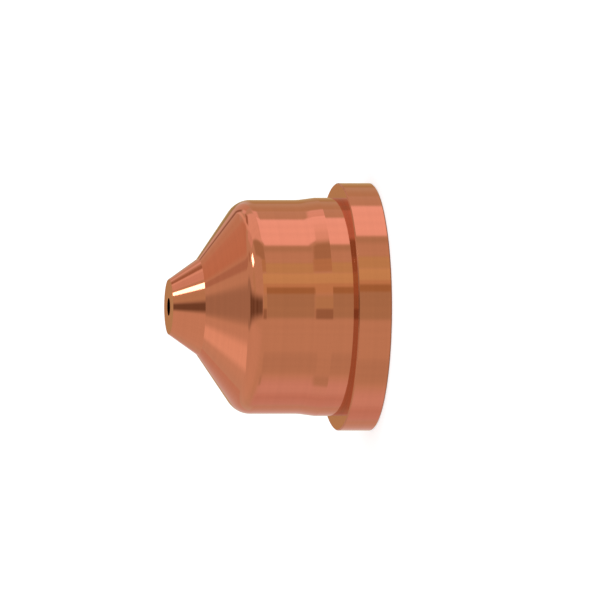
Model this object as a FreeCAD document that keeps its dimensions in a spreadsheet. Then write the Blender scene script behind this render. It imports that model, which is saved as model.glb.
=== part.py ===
"""Plasma torch nozzle: one piece of copper, turned outside and bored inside.

The part stands on its flange with the nose up. The origin is the centre of the rear face,
and +Z runs along the axis towards the tip. Lengths are in millimetres, angles in degrees.

The outside, from the rear face up: a flange, a guide land, a short ramp down to the barrel,
a rounded shoulder, a wide cone, and a steeper nose that ends in a flat tip. The inside, from
the rear face up: a ring seat, a straight chamber, a funnel, and the orifice, which comes out
at the tip. It is drawn as two outlines, one turned and one bored about the same axis.
"""

import FreeCAD, Part
import Sketcher
import math
import os

NODE = "nozzle"
FOLDER = "parts"

SIZES = {
    # The outside
    "flange_thickness": 3.0,
    "flange_overhang": 1.3,
    "guide_length": 2.05,
    "guide_step": 0.2,
    "ramp_length": 1.5,
    "barrel_diameter": 19.0,
    "barrel_length": 5.35,
    "cone_angle": 55.0,
    "nose_angle": 35.0,
    "nose_height": 2.6,
    "tip_diameter": 4.9,
    # The inside
    "seat_wall": 1.5,
    "seat_depth": 4.0,
    "ledge_width": 1.75,
    "funnel_angle": 50.0,
    "orifice_diameter": 1.6,
    "orifice_length": 3.2,
    # Rounds and broken edges
    "shoulder_round": 2.0,
    "chamber_round": 1.0,
    "mouth_chamfer": 0.3,
    "edge_break": 0.1,
}

# Where a sketch's own origin is found, and the ends of a line
ORIGIN = (-1, 1)
START, END = 1, 2

# How near an edge must lie to the place where it is looked for, in millimetres
NEAR = 1e-4


def make_sheet(doc):
    """The sheet that drives the model: one name and one plain number on each row."""
    sheet = doc.addObject("Spreadsheet::Sheet", "Sizes")
    for row, (name, value) in enumerate(SIZES.items(), start=1):
        sheet.set(f"A{row}", name)
        sheet.set(f"B{row}", str(value))
        sheet.setAlias(f"B{row}", name)
    doc.recompute()
    return sheet


def cone_tan(half_angle):
    """The growth of a cone's radius for each millimetre along the axis."""
    return math.tan(math.radians(half_angle))


class Places:
    """The sheet's values, and the places that follow from them."""

    def __init__(self, sheet):
        for name in SIZES:
            setattr(self, name, sheet.get(name))
        # Radii
        self.barrel_radius = self.barrel_diameter / 2
        self.guide_radius = self.barrel_radius + self.guide_step
        self.flange_radius = self.guide_radius + self.flange_overhang
        self.tip_radius = self.tip_diameter / 2
        self.nose_radius = self.tip_radius + self.nose_height * cone_tan(self.nose_angle)
        self.seat_radius = self.barrel_radius - self.seat_wall
        self.chamber_radius = self.seat_radius - self.ledge_width
        self.orifice_radius = self.orifice_diameter / 2
        # Heights
        cone_height = (self.barrel_radius - self.nose_radius) / cone_tan(self.cone_angle)
        funnel_height = (self.chamber_radius - self.orifice_radius) / cone_tan(self.funnel_angle)
        self.guide_top = self.flange_thickness + self.guide_length
        self.ramp_top = self.guide_top + self.ramp_length
        self.barrel_top = self.ramp_top + self.barrel_length
        self.cone_top = self.barrel_top + cone_height
        self.tip_height = self.cone_top + self.nose_height
        self.funnel_top = self.tip_height - self.orifice_length
        self.chamber_top = self.funnel_top - funnel_height


def new_sketch(body, label):
    """A sketch on the plane that holds the axis: across is the radius, up is the height."""
    sketch = body.newObject("Sketcher::SketchObject", label)
    plane = next(f for f in body.Origin.OriginFeatures if f.Role == "XZ_Plane")
    sketch.AttachmentSupport = [(plane, "")]
    sketch.MapMode = "FlatFace"
    return sketch


def draw_outline(sketch, corners):
    """Joins (radius, height) corners into a closed outline and returns its line numbers.

    It starts at the origin and its last line runs back down the axis. A line drawn level or
    upright is held so.
    """
    count = len(corners)
    ends = corners[1:] + corners[:1]
    for start, end in zip(corners, ends):
        line = Part.LineSegment(FreeCAD.Vector(*start, 0), FreeCAD.Vector(*end, 0))
        sketch.addGeometry(line, False)
    for i, (start, end) in enumerate(zip(corners, ends)):
        hold(sketch, "Coincident", i, END, (i + 1) % count, START)
        if start[0] == end[0]:
            hold(sketch, "Vertical", i)
        elif start[1] == end[1]:
            hold(sketch, "Horizontal", i)
    hold(sketch, "Coincident", 0, START, *ORIGIN)
    return range(count)


def hold(sketch, kind, *where):
    """Adds a constraint and returns its number."""
    return sketch.addConstraint(Sketcher.Constraint(kind, *where))


def from_origin(kind, line, name, expression):
    """The dimension from the origin to the start of a line."""
    return name, expression, kind, (*ORIGIN, line, START)


def across(line, name, expression):
    """The dimension across a line that runs in towards the axis."""
    return name, expression, "DistanceX", (line, END, line, START)


def upward(line, name, expression):
    """The dimension up a line."""
    return name, expression, "DistanceY", (line, START, line, END)


def drive(sketch, dimensions):
    """Adds named dimensions that follow the sheet."""
    for name, expression, kind, where in dimensions:
        start, end = (sketch.getPoint(*where[i:i + 2]) for i in (0, 2))
        value = end.x - start.x if kind == "DistanceX" else end.y - start.y
        index = hold(sketch, kind, *where, value)
        sketch.renameConstraint(index, name)
        sketch.setExpression(f"Constraints.{name}", expression)


def drive_angle(sketch, line, name, size):
    """Sets a cone's half angle: its line leans in from upright by that angle."""
    start, end = sketch.getPoint(line, START), sketch.getPoint(line, END)
    index = hold(sketch, "Angle", line, math.atan2(end.y - start.y, end.x - start.x))
    sketch.renameConstraint(index, name)
    sketch.setExpression(f"Constraints.{name}", f"90 deg + {size} * 1 deg")


def turn_outside(body, at):
    """The outside, turned about the axis."""
    sketch = new_sketch(body, "outside_outline")
    lines = draw_outline(sketch, [
        (0, 0),
        (at.flange_radius, 0),
        (at.flange_radius, at.flange_thickness),
        (at.guide_radius, at.flange_thickness),
        (at.guide_radius, at.guide_top),
        (at.barrel_radius, at.ramp_top),
        (at.barrel_radius, at.barrel_top),
        (at.nose_radius, at.cone_top),
        (at.tip_radius, at.tip_height),
        (0, at.tip_height),
    ])
    _, rim, front, guide, ramp, barrel, cone, nose, tip, _ = lines
    drive(sketch, [
        upward(rim, "flange_thickness", "Sizes.flange_thickness"),
        across(front, "flange_overhang", "Sizes.flange_overhang"),
        upward(guide, "guide_length", "Sizes.guide_length"),
        across(ramp, "guide_step", "Sizes.guide_step"),
        upward(ramp, "ramp_length", "Sizes.ramp_length"),
        upward(barrel, "barrel_length", "Sizes.barrel_length"),
        upward(nose, "nose_height", "Sizes.nose_height"),
        across(tip, "tip_radius", "Sizes.tip_diameter / 2"),
        from_origin("DistanceX", barrel, "barrel_radius", "Sizes.barrel_diameter / 2"),
    ])
    drive_angle(sketch, cone, "cone_lean", "Sizes.cone_angle")
    drive_angle(sketch, nose, "nose_lean", "Sizes.nose_angle")
    overall = hold(sketch, "DistanceY", *ORIGIN, tip, START, at.tip_height)
    sketch.renameConstraint(overall, "overall_length")
    sketch.setDriving(overall, False)
    turned = body.newObject("PartDesign::Revolution", "turned_outside")
    turned.Profile = sketch
    turned.ReferenceAxis = (sketch, ["V_Axis"])
    turned.Angle = 360
    return sketch


def bore_inside(body, at, outside):
    """The inside, bored about the same axis from the rear face to the tip."""
    sketch = new_sketch(body, "inside_outline")
    lines = draw_outline(sketch, [
        (0, 0),
        (at.seat_radius, 0),
        (at.seat_radius, at.seat_depth),
        (at.chamber_radius, at.seat_depth),
        (at.chamber_radius, at.chamber_top),
        (at.orifice_radius, at.funnel_top),
        (at.orifice_radius, at.tip_height),
        (0, at.tip_height),
    ])
    _, seat, ledge, _, funnel, orifice, tip, _ = lines
    drive(sketch, [
        from_origin("DistanceX", seat, "seat_radius", "Sizes.barrel_diameter / 2 - Sizes.seat_wall"),
        upward(seat, "seat_depth", "Sizes.seat_depth"),
        across(ledge, "ledge_width", "Sizes.ledge_width"),
        across(tip, "orifice_radius", "Sizes.orifice_diameter / 2"),
        upward(orifice, "orifice_length", "Sizes.orifice_length"),
        from_origin("DistanceY", tip, "tip_height", f"{outside.Name}.Constraints.overall_length"),
    ])
    drive_angle(sketch, funnel, "funnel_lean", "Sizes.funnel_angle")
    bored = body.newObject("PartDesign::Groove", "bored_inside")
    bored.Profile = sketch
    bored.ReferenceAxis = (sketch, ["V_Axis"])
    bored.Angle = 360


def rings(shape, places):
    """The names of the round edges about the axis at the given (radius, height) places."""
    names = []
    for radius, height in places:
        found = [
            f"Edge{number}"
            for number, edge in enumerate(shape.Edges, start=1)
            if isinstance(edge.Curve, Part.Circle)
            and abs(edge.Curve.Radius - radius) < NEAR
            and abs(edge.Curve.Center.z - height) < NEAR
        ]
        if not found:
            raise RuntimeError(f"no round edge of radius {radius:.3f} at height {height:.3f}")
        names += found
    return names


def dress(doc, body, kind, label, places, dimension, size):
    """Rounds or chamfers the edges at the given places."""
    doc.recompute()
    base = body.Tip
    feature = body.newObject(kind, label)
    feature.Base = (base, rings(base.Shape, places))
    feature.setExpression(dimension, f"Sizes.{size}")


def make_nozzle(doc, at):
    """The nozzle: turned, bored, and its edges finished. The orifice's edges stay sharp."""
    body = doc.addObject("PartDesign::Body", NODE)
    body.Label = NODE
    outside = turn_outside(body, at)
    doc.recompute()
    turned_volume = body.Shape.Volume
    bore_inside(body, at, outside)
    doc.recompute()
    if not body.Shape.Volume < turned_volume:
        raise RuntimeError("the inside was not bored")
    dress(doc, body, "PartDesign::Fillet", "shoulder", [(at.barrel_radius, at.barrel_top)],
          "Radius", "shoulder_round")
    dress(doc, body, "PartDesign::Fillet", "chamber_end", [(at.chamber_radius, at.chamber_top)],
          "Radius", "chamber_round")
    dress(doc, body, "PartDesign::Chamfer", "mouth", [(at.seat_radius, 0)],
          "Size", "mouth_chamfer")
    broken = [(at.flange_radius, 0), (at.flange_radius, at.flange_thickness)]
    dress(doc, body, "PartDesign::Chamfer", "broken_edges", broken, "Size", "edge_break")
    doc.recompute()
    return body


def check(doc, body):
    """Stops if any object failed, or if the solid isn't whole."""
    failed = [o.Label for o in doc.Objects if {"Invalid", "Error"} & set(o.State)]
    if failed:
        raise RuntimeError(f"failed objects: {failed}")
    shape = body.Shape
    if shape.isNull() or not shape.isValid() or len(shape.Solids) != 1:
        raise RuntimeError(f"{body.Label} is not one valid solid")


def main():
    doc = FreeCAD.newDocument("PlasmaNozzle")
    at = Places(make_sheet(doc))
    body = make_nozzle(doc, at)
    check(doc, body)
    os.makedirs(FOLDER, exist_ok=True)
    body.Shape.exportStep(os.path.join(FOLDER, f"{body.Label}.step"))
    box = body.Shape.optimalBoundingBox(False)
    print(f"{body.Label}: {box.XLength:.3f} x {box.YLength:.3f} x {box.ZLength:.3f} mm, "
          f"{body.Shape.Volume:.1f} cubic mm")


main()
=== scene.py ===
"""Looks for the plasma torch nozzle: bright turned copper under soft studio light.

The nozzle stands on its flange. The camera lies on its side, as in the photograph, so the
nose points to the left of the picture and the picture's up is the object's +X.
"""

import math
from types import SimpleNamespace

import bpy
from mathutils import Matrix, Vector
from mathutils.bvhtree import BVHTree


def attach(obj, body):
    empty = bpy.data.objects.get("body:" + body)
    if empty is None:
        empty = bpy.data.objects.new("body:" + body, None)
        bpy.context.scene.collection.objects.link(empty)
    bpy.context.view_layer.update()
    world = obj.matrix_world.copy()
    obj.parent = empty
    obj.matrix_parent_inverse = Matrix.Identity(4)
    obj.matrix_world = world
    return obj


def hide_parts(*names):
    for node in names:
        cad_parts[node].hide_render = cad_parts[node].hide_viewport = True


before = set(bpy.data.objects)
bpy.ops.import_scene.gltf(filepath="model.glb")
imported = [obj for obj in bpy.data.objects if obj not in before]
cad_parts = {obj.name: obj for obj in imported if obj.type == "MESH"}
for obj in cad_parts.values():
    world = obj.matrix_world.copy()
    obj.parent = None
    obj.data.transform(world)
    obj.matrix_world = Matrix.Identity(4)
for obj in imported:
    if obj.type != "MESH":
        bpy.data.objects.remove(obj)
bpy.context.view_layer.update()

MM = 1e-3

# The nozzle's sizes, the same as the solid's: lengths in metres, half angles in radians
FLANGE_RADIUS = 11.0 * MM
FLANGE_THICKNESS = 3.0 * MM
GUIDE_RADIUS = 9.7 * MM
GUIDE_LENGTH = 2.05 * MM
RAMP_LENGTH = 1.5 * MM
BARREL_RADIUS = 9.5 * MM
BARREL_LENGTH = 5.35 * MM
CONE_ANGLE = math.radians(55.0)
NOSE_ANGLE = math.radians(35.0)
NOSE_HEIGHT = 2.6 * MM
TIP_RADIUS = 2.45 * MM
SEAT_RADIUS = 8.0 * MM
SEAT_DEPTH = 4.0 * MM
CHAMBER_RADIUS = 6.25 * MM
FUNNEL_ANGLE = math.radians(50.0)
ORIFICE_RADIUS = 0.8 * MM
ORIFICE_LENGTH = 3.2 * MM
SHOULDER_ROUND = 2.0 * MM
CHAMBER_ROUND = 1.0 * MM
MOUTH_CHAMFER = 0.3 * MM
EDGE_BREAK = 0.1 * MM

# How finely the turned skin is made: its steps round the axis, the angle of a step along a
# wide round, and the steps along an edge's small round
AROUND = 320
ARC_STEP = math.radians(2.5)
EDGE_STEPS = 3

# The small rounds of outer and inner edges, the very wide one where the ramp runs into the
# barrel, and how far the skin may lie from the solid
OUTER_EDGE = 0.02 * MM
INNER_EDGE = 0.004 * MM
RAMP_BLEND = 6.0 * MM
SKIN_LIMIT = 0.05 * MM

# The view: a long lens, ten degrees from square to the axis, on the nose side. Its far clip
# is counted in distances to the nozzle.
IMAGE_SIZE = 600
PIXEL = 0.08885 * MM
LENS_MM = 1000.0
SENSOR_MM = 36.0
CLIP_DISTANCES = 3
VIEW_ELEVATION = math.radians(10.0)
AIM = Vector((0.607 * MM, 0.0, 6.33 * MM))

# The copper: its middle tone and its tint at a grazing look
COPPER = (0.58, 0.195, 0.092, 1.0)
COPPER_EDGE = (0.935, 0.84, 0.76, 1.0)

# How it mirrors: less sharply across the grooves, and less on faces square to the axis
COPPER_ROUGHNESS = 0.05
FACE_ROUGHNESS = 0.12
GRAIN = 0.5
GRAIN_TURN = 0.25

# What the tool left: rings of another tone and gloss, and fine grooves. Scales are to the
# millimetre, and the range is the part of the noise that goes from one tone to the other.
RING_SCALE = 1.6
RING_RANGE = (0.3, 0.7)
RING_TONE = 0.015
RING_ROUGHNESS = 0.012
GROOVE_SCALE = 11.0
GROOVE_DEPTH = 0.0006 * MM
TOOL_DETAIL = 2.0

# How much a surface faces away from the axis, or towards +Z, where it counts as a wall
# inside, as a face, or as a broken edge with a softness. The front edge also has a radius
# from which it starts.
INSIDE_FACING = (-0.1, -0.3)
FACE_FACING = (0.96, 0.99)
REAR_EDGE_FACING = (-0.9, -0.5, 0.1)
FRONT_EDGE_FACING = (0.5, 0.9, 0.1)
FRONT_EDGE_FROM = (FLANGE_RADIUS - 0.2 * MM, FLANGE_RADIUS - 0.12 * MM)

# The walls inside are darker, partly the unpolished metal's tone and partly painted shade in the
# bore. They are dull, but less so in the orifice
INSIDE_TONE_AND_SHADE_SHARES = (0.62, 0.62, 0.62)
INSIDE_ROUGHNESS = 0.3
ORIFICE_ROUGHNESS = 0.08
ORIFICE_FADE = (1.2 * ORIFICE_RADIUS, 2.0 * ORIFICE_RADIUS)

# The broken rear edges are painted darker, a painted reflection of the shaded floor beneath them.
# The flange's front edge is dull, and painted darker as painted shade that dims its reflection
REAR_EDGE_SHADE_SHARES = (0.5, 0.46, 0.42)
FRONT_EDGE_SHADE_SHARES = (0.84, 0.84, 0.8)
FRONT_EDGE_ROUGHNESS = 0.3

# A painted highlight round the orifice's mouth: its shares, and its radius from, to and softness
LIP_HIGHLIGHT_SHARES = (1.2, 1.25, 1.5)
LIP_HIGHLIGHT = (ORIFICE_RADIUS, ORIFICE_RADIUS + 0.1 * MM, 0.02 * MM)

# Painted shade in the flange's corner, and the distances from it between which it fades
CORNER_SHADE_SHARES = (0.92, 0.92, 0.92)
CORNER_SHADE_NEAR = 0.15 * MM
CORNER_SHADE_FAR = 0.3 * MM

# The floor: its reach, how far below the nozzle it lies, its colour, and the glow that
# takes it to white for the camera
FLOOR_REACH = 0.6
FLOOR_GAP = 0.01 * MM
FLOOR_SIDES = 96
FLOOR_COLOUR = (0.64, 0.64, 0.64, 1.0)
FLOOR_GLOW = 0.56

# The key light: its azimuth and elevation, its distance from the nozzle's middle in metres,
# its size, its power in watts and its colour
KEY_TOWARD = (69.5, 49.2)
KEY_AIM = Vector((0.0, 0.0, 0.01))
KEY_DISTANCE = 0.5
KEY_WIDTH = 0.095
KEY_HEIGHT = 0.07
KEY_POWER = 0.142
KEY_COLOUR = (0.9, 1.0, 1.3)

# The level of the plain light that falls on the floor, and white
FILL_LEVEL = 0.9
WHITE = (1.0, 1.0, 1.0, 1.0)


def shaded(colour, shares):
    """A colour, each of its channels times a share."""
    return tuple(channel * share for channel, share in zip(colour, shares)) + (1.0,)


def grey(level, warmth=0.0):
    """A card's colour: its level, and how much warmer than white it is."""
    return (level, level * (1 + 0.3 * warmth), level * (1 - 0.6 * warmth), 1.0)


def toward(azimuth, elevation):
    """The direction at an azimuth and elevation, in degrees, as the cards count them."""
    a, e = math.radians(azimuth), math.radians(elevation)
    return Vector((math.cos(e) * math.sin(a), -math.cos(e) * math.cos(a), math.sin(e)))


# The light room that the metal mirrors: its wall, and the cards on it and the gaps between
# them. Azimuth 0 is the camera's side, 90 the picture's top and 180 the far side, counted
# from SEAM once round; elevation is towards the nose. Each card is azimuth from and to,
# elevation from and to, softness of its edges, how far it leans over for each degree of
# elevation above the floor line, and colour, where 1 is white. Later cards lie on top.
SEAM = -150.0
FLOOR_LINE = -10.0
WALL = grey(0.86)
CARDS = {
    "low_wall": (-147, -26, 20, 76, 10, 0.0, (0.94, 0.92, 0.97, 1.0)),
    "far_wall": (136, 176, 2, 15, 2, 0.0, (0.88, 0.72, 0.66, 1.0)),
    "top_card": (70, 109, -40, 2, 2.5, 0.5, (1.44, 1.38, 1.8, 1.0)),
    "top_card_corner": (108, 122, -6, 4, 2, 0.5, (1.22, 1.12, 1.36, 1.0)),
    "top_card_upper": (67, 114, 2, 36, 3, 0.5, (1.2, 1.14, 1.36, 1.0)),
    "top_card_gap": (43, 65, -4, 34, 3, 0.5, (0.64, 0.62, 0.54, 1.0)),
    "top_card_foot": (62, 68, -40, -4, 3, 0.0, (0.73, 0.75, 0.71, 1.0)),
    "upper_gap": (36, 48, -40, -5, 2, 0.0, grey(0.86, 0.3)),
    "ramp_gap": (38, 52, -5, 12, 2, 0.0, (0.77, 0.73, 0.58, 1.0)),
    "warm_gap": (14, 30, -40, 12, 3, 0.0, (0.86, 0.83, 0.66, 1.0)),
    "upper_line": (154.5, 164, 19, 30, 1.5, -1.0, (0.58, 0.44, 0.38, 1.0)),
    "nose_glint": (134, 143, 14, 20, 1.5, 0.0, (1.12, 1.0, 1.18, 1.0)),
    "red_wall": (122, 168, 31, 58, 4, 0.0, (0.85, 0.665, 0.62, 1.0)),
    "red_wall_edge": (112, 152, 60, 66, 1.2, 0.0, (0.7, 0.6, 0.6, 1.0)),
    "red_wall_far": (150, 178, 18, 34, 3, 0.0, (0.84, 0.7, 0.62, 1.0)),
    "glint_high": (86, 112, 34, 45, 2, 0.0, (1.04, 0.95, 1.12, 1.0)),
    "glint_low": (212, 222, 19, 35, 2, -2.2, (1.12, 1.02, 1.1, 1.0)),
    "key_shade": (93, 103, 54, 62, 1.5, 0.0, (0.62, 0.5, 0.45, 1.0)),
    "far_side": (126, 146, -40, 2, 3, 0.0, (0.78, 0.74, 0.62, 1.0)),
    "far_end": (147, 190, -40, -4, 5, 0.0, (0.66, 0.52, 0.28, 1.0)),
    "far_end_upper": (174, 190, -5, 20, 3, 0.0, (0.65, 0.44, 0.225, 1.0)),
    "far_end_cone": (165, 175, -5, 8, 2, 0.0, (0.52, 0.42, 0.2, 1.0)),
    "far_line": (146, 172, 14.8, 18.2, 0.8, 0.0, (0.46, 0.3, 0.24, 1.0)),
    "far_end_low": (190, 215, -40, 44, 4, 0.0, (0.86, 0.7, 0.7, 1.0)),
    "camera_side": (-12, 17, -40, -4, 3, 0.0, (0.67, 0.7, 0.63, 1.0)),
    "camera_side_high": (-4, 12, -4, 13, 3, 0.0, grey(0.77, 0.2)),
    "camera_edge": (-13, -2, -3, 14, 2, 0.0, (0.52, 0.48, 0.42, 1.0)),
    "camera_line": (14, 21, -40, -4, 1.8, 0.0, (0.6, 0.525, 0.35, 1.0)),
    "bright_slit": (25, 36, -40, 12, 2, 0.0, (0.95, 1.04, 0.78, 1.0)),
    "key_foot": (22, 56, 50, 62, 3, 0.0, grey(0.8, 0.1)),
    "low_gap": (-76, -50, -40, 2, 4, 0.0, grey(0.78)),
    "low_glow": (-122, -84, -40, 6, 11, 0.0, (1.0, 0.94, 1.18, 1.0)),
    "low_end": (-134, -108, -40, 6, 7, 0.0, (0.9, 0.77, 0.92, 1.0)),
    "low_far": (-154, -136, -40, -4, 3, 0.0, (0.85, 0.73, 0.72, 1.0)),
    "low_spot": (-93, -79, -2, 6, 4, 0.0, grey(0.76)),
    "low_card": (-150, -127, 50, 66, 4, 0.0, (1.26, 1.22, 1.36, 1.0)),
}

# Faint upright streaks, as of a room's many edges: scale to the degree, shade and strength
STREAK_SCALE = 0.16
STREAK_DETAIL = 3.0
STREAK_RANGE = (0.35, 0.65)
STREAK_SHARES = (0.94, 0.94, 0.94)
STREAK_STRENGTH = 0.5

# The grey patch above the nose: its middle, the heights between which it starts, its colour
ZENITH_TOWARD = (90, 88)
ZENITH_FROM = (72, 78)
ZENITH = grey(0.58)

# The dark slit that runs from the camera up to the zenith. Across it lies X, from -1 to 1,
# and along it degrees. Each is from, to and softness. Darker bars lie across it.
SLIT_ACROSS = (-0.165, 0.17, 0.1)
SLIT_ALONG = (17, 86, 3)
SLIT_COLOUR = (0.3, 0.27, 0.25, 1.0)
BAR_SCALE = 0.1
BAR_DETAIL = 1.0
BAR_RANGE = (0.4, 0.6)
BAR_SHARES = (0.78, 0.68, 0.6)


class Tree:
    """Builds a node tree with one short call for each node."""

    def __init__(self, owner):
        owner.use_nodes = True
        self.tree = owner.node_tree
        self.tree.nodes.clear()

    def add(self, kind, inputs=None, **settings):
        """Adds a node, sets its settings and fills its inputs with values or links."""
        node = self.tree.nodes.new(kind)
        for name, setting in settings.items():
            setattr(node, name, setting)
        for key, value in (inputs or {}).items():
            if isinstance(value, bpy.types.NodeSocket):
                self.tree.links.new(value, node.inputs[key])
            else:
                node.inputs[key].default_value = value
        return node

    def math(self, operation, *values):
        """One operation on numbers or links."""
        node = self.add("ShaderNodeMath", dict(enumerate(values)), operation=operation)
        return node.outputs[0]

    def split(self, vector):
        """A vector's X, Y and Z."""
        return self.add("ShaderNodeSeparateXYZ", {0: vector}).outputs

    def radius(self, place):
        """The distance from the axis, of a place that is split into X, Y and Z."""
        flat = self.add("ShaderNodeCombineXYZ", {"X": place["X"], "Y": place["Y"]}).outputs[0]
        return self.add("ShaderNodeVectorMath", {0: flat}, operation="LENGTH").outputs["Value"]

    def step(self, value, start, end, low=0.0, high=1.0):
        """A smooth step from low to high as the value goes from start to end."""
        inputs = {"Value": value, "From Min": start, "From Max": end, "To Min": low, "To Max": high}
        node = self.add("ShaderNodeMapRange", inputs, interpolation_type="SMOOTHSTEP")
        return node.outputs["Result"]

    def window(self, value, low, high, soft):
        """One between low and high, zero outside, with soft edges."""
        rise = self.step(value, low - soft, low + soft)
        fall = self.step(value, high - soft, high + soft, 1.0, 0.0)
        return self.math("MULTIPLY", rise, fall)

    def mix(self, mask, first, second):
        """A colour that goes from the first to the second as the mask goes from 0 to 1."""
        node = self.add("ShaderNodeMix", {0: mask, 6: first, 7: second}, data_type="RGBA")
        return node.outputs[2]

    def scaled(self, colour, shares):
        """A linked colour, each of its channels times a share."""
        node = self.add("ShaderNodeVectorMath", {0: colour, 1: shares}, operation="MULTIPLY")
        return node.outputs[0]

    def noise(self, where, scale, detail):
        """A noise between 0 and 1 along a single number."""
        inputs = {"W": where, "Scale": scale, "Detail": detail}
        return self.add("ShaderNodeTexNoise", inputs, noise_dimensions="1D").outputs[0]


def with_cards(t, colour, azimuth, elevation):
    """Lays the cards over a colour, each on top of those before it."""
    above_line = t.math("SUBTRACT", elevation, FLOOR_LINE)
    for left, right, bottom, top, soft, lean, card in CARDS.values():
        leant = t.math("SUBTRACT", azimuth, t.math("MULTIPLY", above_line, lean))
        across = t.window(leant, left, right, soft)
        upward = t.window(elevation, bottom, top, soft)
        colour = t.mix(t.math("MULTIPLY", across, upward), colour, card)
    return colour


def with_streaks(t, colour, azimuth):
    """Adds the faint upright streaks."""
    noise = t.noise(azimuth, STREAK_SCALE, STREAK_DETAIL)
    streaks = t.step(noise, *STREAK_RANGE, 0.0, STREAK_STRENGTH)
    return t.mix(streaks, colour, t.scaled(colour, STREAK_SHARES))


def with_zenith(t, colour, direction):
    """Adds the grey patch above the nose."""
    both = {0: direction, 1: toward(*ZENITH_TOWARD)}
    rise = t.add("ShaderNodeVectorMath", both, operation="DOT_PRODUCT").outputs["Value"]
    height = t.math("DEGREES", t.math("ARCSINE", rise))
    return t.mix(t.step(height, *ZENITH_FROM), colour, ZENITH)


def with_slit(t, colour, sideways, along):
    """Adds the dark slit and the bars across it."""
    slit = t.math("MULTIPLY", t.window(sideways, *SLIT_ACROSS), t.window(along, *SLIT_ALONG))
    bars = t.step(t.noise(along, BAR_SCALE, BAR_DETAIL), *BAR_RANGE)
    return t.mix(slit, colour, t.mix(bars, SLIT_COLOUR, shaded(SLIT_COLOUR, BAR_SHARES)))


def build_world():
    """A white room for the camera, and for the metal a soft light tent with a dark slit."""
    world = bpy.data.worlds.new("light_room")
    bpy.context.scene.world = world
    t = Tree(world)
    direction = t.add("ShaderNodeTexCoord").outputs["Generated"]
    axes = t.split(direction)
    toward_camera = t.math("MULTIPLY", axes["Y"], -1.0)
    turned = t.math("DEGREES", t.math("ARCTAN2", axes["X"], toward_camera))
    azimuth = t.math("WRAP", turned, SEAM + 360.0, SEAM)
    elevation = t.math("DEGREES", t.math("ARCSINE", axes["Z"]))
    overhead = t.math("DEGREES", t.math("ARCTAN2", axes["Z"], toward_camera))
    colour = with_cards(t, WALL, azimuth, elevation)
    colour = with_streaks(t, colour, azimuth)
    colour = with_zenith(t, colour, direction)
    colour = with_slit(t, colour, axes["X"], overhead)
    rays = t.add("ShaderNodeLightPath").outputs
    colour = t.mix(rays["Is Camera Ray"], colour, WHITE)
    colour = t.mix(rays["Is Diffuse Ray"], colour, grey(FILL_LEVEL))
    background = t.add("ShaderNodeBackground", {"Color": colour, "Strength": 1.0})
    t.add("ShaderNodeOutputWorld", {"Surface": background.outputs[0]})


def floor_material():
    """Plain and pale: it shows white to the camera and keeps the soft shadow.

    It doesn't glow under the nozzle, so that the hole stays dark.
    """
    material = bpy.data.materials.new("floor")
    t = Tree(material)
    place = t.split(t.add("ShaderNodeTexCoord").outputs["Object"])
    beyond = t.step(t.radius(place), SEAT_RADIUS, FLANGE_RADIUS)
    diffuse = t.add("ShaderNodeBsdfDiffuse", {"Color": FLOOR_COLOUR})
    rays = t.add("ShaderNodeLightPath").outputs
    seen = t.math("MULTIPLY", rays["Is Camera Ray"], beyond)
    shine = t.math("MULTIPLY", seen, FLOOR_GLOW)
    glow = t.add("ShaderNodeEmission", {"Color": WHITE, "Strength": shine})
    both = t.add("ShaderNodeAddShader", {0: diffuse.outputs[0], 1: glow.outputs[0]})
    t.add("ShaderNodeOutputMaterial", {"Surface": both.outputs[0]})
    return material


def add_disc(name, radius, depth, mirrored, material):
    """Adds a disc of the floor, which the metal mirrors or not."""
    bpy.ops.mesh.primitive_circle_add(vertices=FLOOR_SIDES, radius=radius, fill_type="NGON")
    disc = bpy.context.object
    disc.name = name
    disc.location.z = -depth
    disc.visible_glossy = mirrored
    disc.data.materials.append(material)


def build_floor():
    """The floor, and a disc under the nozzle that the walls inside mirror.

    In place of the floor the metal outside mirrors the light room, as if through glass.
    """
    material = floor_material()
    add_disc("floor", FLOOR_REACH, 2 * FLOOR_GAP, False, material)
    add_disc("floor_under", SEAT_RADIUS, FLOOR_GAP, True, material)


def build_key():
    """The small bright key light, whose mirror image is the white streak on the nose."""
    direction = toward(*KEY_TOWARD)
    data = bpy.data.lights.new("key", "AREA")
    data.shape = "RECTANGLE"
    data.size = KEY_WIDTH
    data.size_y = KEY_HEIGHT
    data.energy = KEY_POWER
    data.color = KEY_COLOUR
    key = bpy.data.objects.new("key", data)
    bpy.context.collection.objects.link(key)
    key.location = KEY_AIM + direction * KEY_DISTANCE
    key.rotation_euler = direction.to_track_quat("Z", "Y").to_euler()


def build_camera():
    """The camera at the photograph's angle, rolled so that the picture's up is +X."""
    data = bpy.data.cameras.new("camera")
    data.lens = LENS_MM
    data.sensor_width = SENSOR_MM
    camera = bpy.data.objects.new("camera", data)
    bpy.context.collection.objects.link(camera)
    up = Vector((1, 0, 0))
    back = Vector((0, -math.cos(VIEW_ELEVATION), math.sin(VIEW_ELEVATION)))
    right = up.cross(back)
    distance = IMAGE_SIZE * PIXEL * LENS_MM / SENSOR_MM
    data.clip_end = distance * CLIP_DISTANCES
    turn = Matrix((right, up, back)).transposed().to_4x4()
    camera.matrix_world = Matrix.Translation(AIM + back * distance) @ turn
    bpy.context.scene.camera = camera


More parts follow.
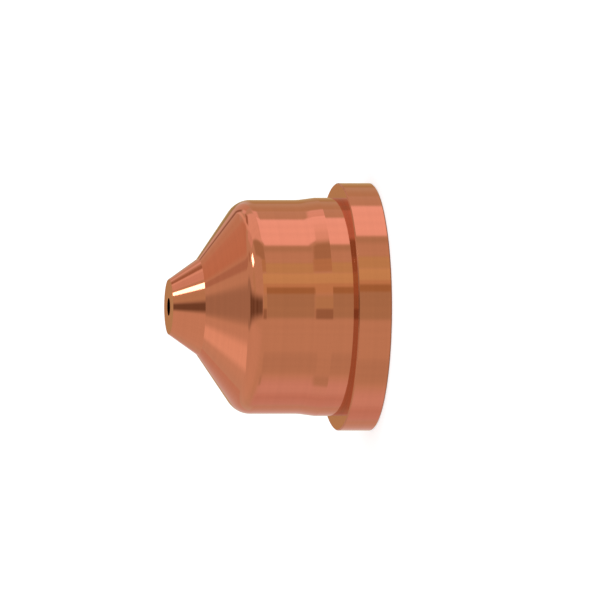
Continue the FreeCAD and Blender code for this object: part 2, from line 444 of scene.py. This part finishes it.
def outline_corners():
    """The nozzle's half section as (radius, height, round) corners, once about the loop."""
    guide_top = FLANGE_THICKNESS + GUIDE_LENGTH
    ramp_top = guide_top + RAMP_LENGTH
    barrel_top = ramp_top + BARREL_LENGTH
    nose_radius = TIP_RADIUS + NOSE_HEIGHT * math.tan(NOSE_ANGLE)
    cone_top = barrel_top + (BARREL_RADIUS - nose_radius) / math.tan(CONE_ANGLE)
    tip = cone_top + NOSE_HEIGHT
    funnel_top = tip - ORIFICE_LENGTH
    chamber_top = funnel_top - (CHAMBER_RADIUS - ORIFICE_RADIUS) / math.tan(FUNNEL_ANGLE)
    return [
        (SEAT_RADIUS + MOUTH_CHAMFER, 0.0, OUTER_EDGE),
        (FLANGE_RADIUS - EDGE_BREAK, 0.0, OUTER_EDGE),
        (FLANGE_RADIUS, EDGE_BREAK, OUTER_EDGE),
        (FLANGE_RADIUS, FLANGE_THICKNESS - EDGE_BREAK, OUTER_EDGE),
        (FLANGE_RADIUS - EDGE_BREAK, FLANGE_THICKNESS, OUTER_EDGE),
        (GUIDE_RADIUS, FLANGE_THICKNESS, INNER_EDGE),
        (GUIDE_RADIUS, guide_top, OUTER_EDGE),
        (BARREL_RADIUS, ramp_top, RAMP_BLEND),
        (BARREL_RADIUS, barrel_top, SHOULDER_ROUND),
        (nose_radius, cone_top, INNER_EDGE),
        (TIP_RADIUS, tip, OUTER_EDGE),
        (ORIFICE_RADIUS, tip, INNER_EDGE),
        (ORIFICE_RADIUS, funnel_top, OUTER_EDGE),
        (CHAMBER_RADIUS, chamber_top, CHAMBER_ROUND),
        (CHAMBER_RADIUS, SEAT_DEPTH, OUTER_EDGE),
        (SEAT_RADIUS, SEAT_DEPTH, INNER_EDGE),
        (SEAT_RADIUS, MOUTH_CHAMFER, OUTER_EDGE),
    ]


def rounded_outline(corners):
    """Rounds every corner with an arc. Gives (radius, height) points and their normals."""
    points, normals = [], []
    for i, (radius, height, size) in enumerate(corners):
        here = Vector((radius, height))
        before = Vector(corners[i - 1][:2])
        after = Vector(corners[(i + 1) % len(corners)][:2])
        come = (here - before).normalized()
        go = (after - here).normalized()
        # The loop runs with the metal on its left, so the outward normal is on its right and a
        # left turn is an outer corner
        turn = math.atan2(come.x * go.y - come.y * go.x, come.dot(go))
        first_normal = Vector((come.y, -come.x))
        side = math.copysign(1.0, turn)
        reach = size * math.tan(abs(turn) / 2)
        centre = here - come * reach - first_normal * size * side
        steps = math.ceil(abs(turn) / ARC_STEP) if size > OUTER_EDGE else EDGE_STEPS
        for k in range(steps + 1):
            angle = turn * k / steps
            cosine, sine = math.cos(angle), math.sin(angle)
            normal = Vector((
                first_normal.x * cosine - first_normal.y * sine,
                first_normal.x * sine + first_normal.y * cosine,
            ))
            points.append(centre + normal * size * side)
            normals.append(normal)
    return points, normals


def turned_mesh(points, normals):
    """Turns a closed outline about the axis, with the outline's own normals."""
    count = len(points)
    turns = [2 * math.pi * k / AROUND for k in range(AROUND)]
    directions = [(math.cos(a), math.sin(a)) for a in turns]
    places = [(p.x * c, p.x * s, p.y) for c, s in directions for p in points]
    leans = [(n.x * c, n.x * s, n.y) for c, s in directions for n in normals]
    faces = []
    for k in range(AROUND):
        here, there = k * count, (k + 1) % AROUND * count
        for i in range(count):
            j = (i + 1) % count
            faces.append((here + i, there + i, there + j, here + j))
    mesh = bpy.data.meshes.new("nozzle_skin")
    mesh.from_pydata(places, [], faces)
    mesh.shade_smooth()
    mesh.normals_split_custom_set_from_vertices(leans)
    return mesh


def check_skin(points, node):
    """Stops if the turned skin leaves the solid's surface."""
    tree = BVHTree.FromObject(node, bpy.context.evaluated_depsgraph_get())
    worst = max(tree.find_nearest(Vector((p.x, 0.0, p.y)))[3] for p in points)
    if worst > SKIN_LIMIT:
        raise RuntimeError(f"the skin lies {worst / MM:.3f} mm off the solid")


def copper_places(t):
    """Where a point of the copper lies, and masks for the kinds of surface.

    The place along the profile is one number that grows up the walls and in along the faces,
    so every noise made from it is a set of rings about the axis.
    """
    coords = t.add("ShaderNodeTexCoord").outputs
    place = t.split(coords["Object"])
    facing = t.split(coords["Normal"])
    radius = t.radius(place)
    outward_x = t.math("MULTIPLY", place["X"], facing["X"])
    outward_y = t.math("MULTIPLY", place["Y"], facing["Y"])
    outward = t.math("DIVIDE", t.math("ADD", outward_x, outward_y), radius)
    rim = t.step(radius, *FRONT_EDGE_FROM)
    return SimpleNamespace(
        height=place["Z"],
        radius=radius,
        profile_mm=t.math("MULTIPLY", t.math("SUBTRACT", place["Z"], radius), 1 / MM),
        inside=t.step(outward, *INSIDE_FACING),
        faced=t.step(t.math("ABSOLUTE", facing["Z"]), *FACE_FACING),
        rear_edge=t.window(facing["Z"], *REAR_EDGE_FACING),
        front_edge=t.math("MULTIPLY", t.window(facing["Z"], *FRONT_EDGE_FACING), rim),
    )


def corner_shade_mask(t, at):
    """Where the painted shade lies: the outside of the corner in front of the flange."""
    off_corner = t.math("ABSOLUTE", t.math("SUBTRACT", at.height, FLANGE_THICKNESS))
    low = t.step(off_corner, CORNER_SHADE_NEAR, CORNER_SHADE_FAR, 1.0, 0.0)
    start, end = GUIDE_RADIUS + CORNER_SHADE_NEAR, GUIDE_RADIUS + CORNER_SHADE_FAR
    deep = t.step(at.radius, start, end, 1.0, 0.0)
    outside = t.math("SUBTRACT", 1.0, at.inside)
    return t.math("MULTIPLY", t.math("MULTIPLY", low, deep), outside)


def copper_colour(t, at, rings):
    """The copper's colour: the rings' two tones, the darker inside, and the painted shade and
    highlight.
    """
    dark_ring = shaded(COPPER, (1 - RING_TONE,) * 3)
    light_ring = shaded(COPPER, (1 + RING_TONE,) * 3)
    colour = t.mix(t.step(rings, *RING_RANGE), dark_ring, light_ring)
    # Darker inside: partly the unpolished metal's own tone, partly painted shade in the bore
    colour = t.mix(at.inside, colour, shaded(COPPER, INSIDE_TONE_AND_SHADE_SHARES))
    changes = [
        # Painted shade: the rear edges' painted reflection of the shaded floor
        (at.rear_edge, REAR_EDGE_SHADE_SHARES),
        # Painted shade that dims the front edge's reflection
        (at.front_edge, FRONT_EDGE_SHADE_SHARES),
        # Painted highlight round the orifice's mouth
        (t.math("MULTIPLY", t.window(at.radius, *LIP_HIGHLIGHT), at.faced), LIP_HIGHLIGHT_SHARES),
        # Painted shade in the flange's corner
        (corner_shade_mask(t, at), CORNER_SHADE_SHARES),
    ]
    for mask, shares in changes:
        colour = t.mix(mask, colour, t.scaled(colour, shares))
    return colour


def copper_roughness(t, at, rings):
    """The copper's roughness: the rings' own, or that of a duller surface if it is more."""
    least, most = COPPER_ROUGHNESS - RING_ROUGHNESS, COPPER_ROUGHNESS + RING_ROUGHNESS
    roughness = t.step(rings, *RING_RANGE, least, most)
    dull = t.step(at.radius, *ORIFICE_FADE, ORIFICE_ROUGHNESS, INSIDE_ROUGHNESS)
    levels = [
        (at.faced, FACE_ROUGHNESS),
        (at.inside, dull),
        (at.front_edge, FRONT_EDGE_ROUGHNESS),
    ]
    for mask, level in levels:
        roughness = t.math("MAXIMUM", roughness, t.math("MULTIPLY", mask, level))
    return roughness


def copper_material():
    """Bright turned copper: rings and fine grooves left by the tool, and a duller inside, darker
    partly by painted shade.
    """
    material = bpy.data.materials.new("bright_copper")
    t = Tree(material)
    at = copper_places(t)
    rings = t.noise(at.profile_mm, RING_SCALE, TOOL_DETAIL)
    grooves = t.noise(at.profile_mm, GROOVE_SCALE, TOOL_DETAIL)
    relief = {"Height": grooves, "Strength": 1.0, "Distance": GROOVE_DEPTH}
    bump = t.add("ShaderNodeBump", relief)
    around = t.add("ShaderNodeTangent", direction_type="RADIAL", axis="Z").outputs[0]
    shader = t.add("ShaderNodeBsdfPrincipled", {
        "Base Color": copper_colour(t, at, rings),
        "Metallic": 1.0,
        "Roughness": copper_roughness(t, at, rings),
        "Specular Tint": COPPER_EDGE,
        "Anisotropic": GRAIN,
        "Anisotropic Rotation": GRAIN_TURN,
        "Tangent": around,
        "Normal": bump.outputs[0],
    })
    t.add("ShaderNodeOutputMaterial", {"Surface": shader.outputs[0]})
    return material


def build_nozzle():
    """The nozzle's skin, turned from the solid's own outline but far finer."""
    points, normals = rounded_outline(outline_corners())
    check_skin(points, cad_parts["nozzle"])
    skin = bpy.data.objects.new("nozzle_skin", turned_mesh(points, normals))
    bpy.context.collection.objects.link(skin)
    skin.data.materials.append(copper_material())
    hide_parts("nozzle")
    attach(skin, "root")


bpy.context.scene.view_settings.view_transform = "Standard"
build_world()
build_floor()
build_key()
build_camera()
build_nozzle()
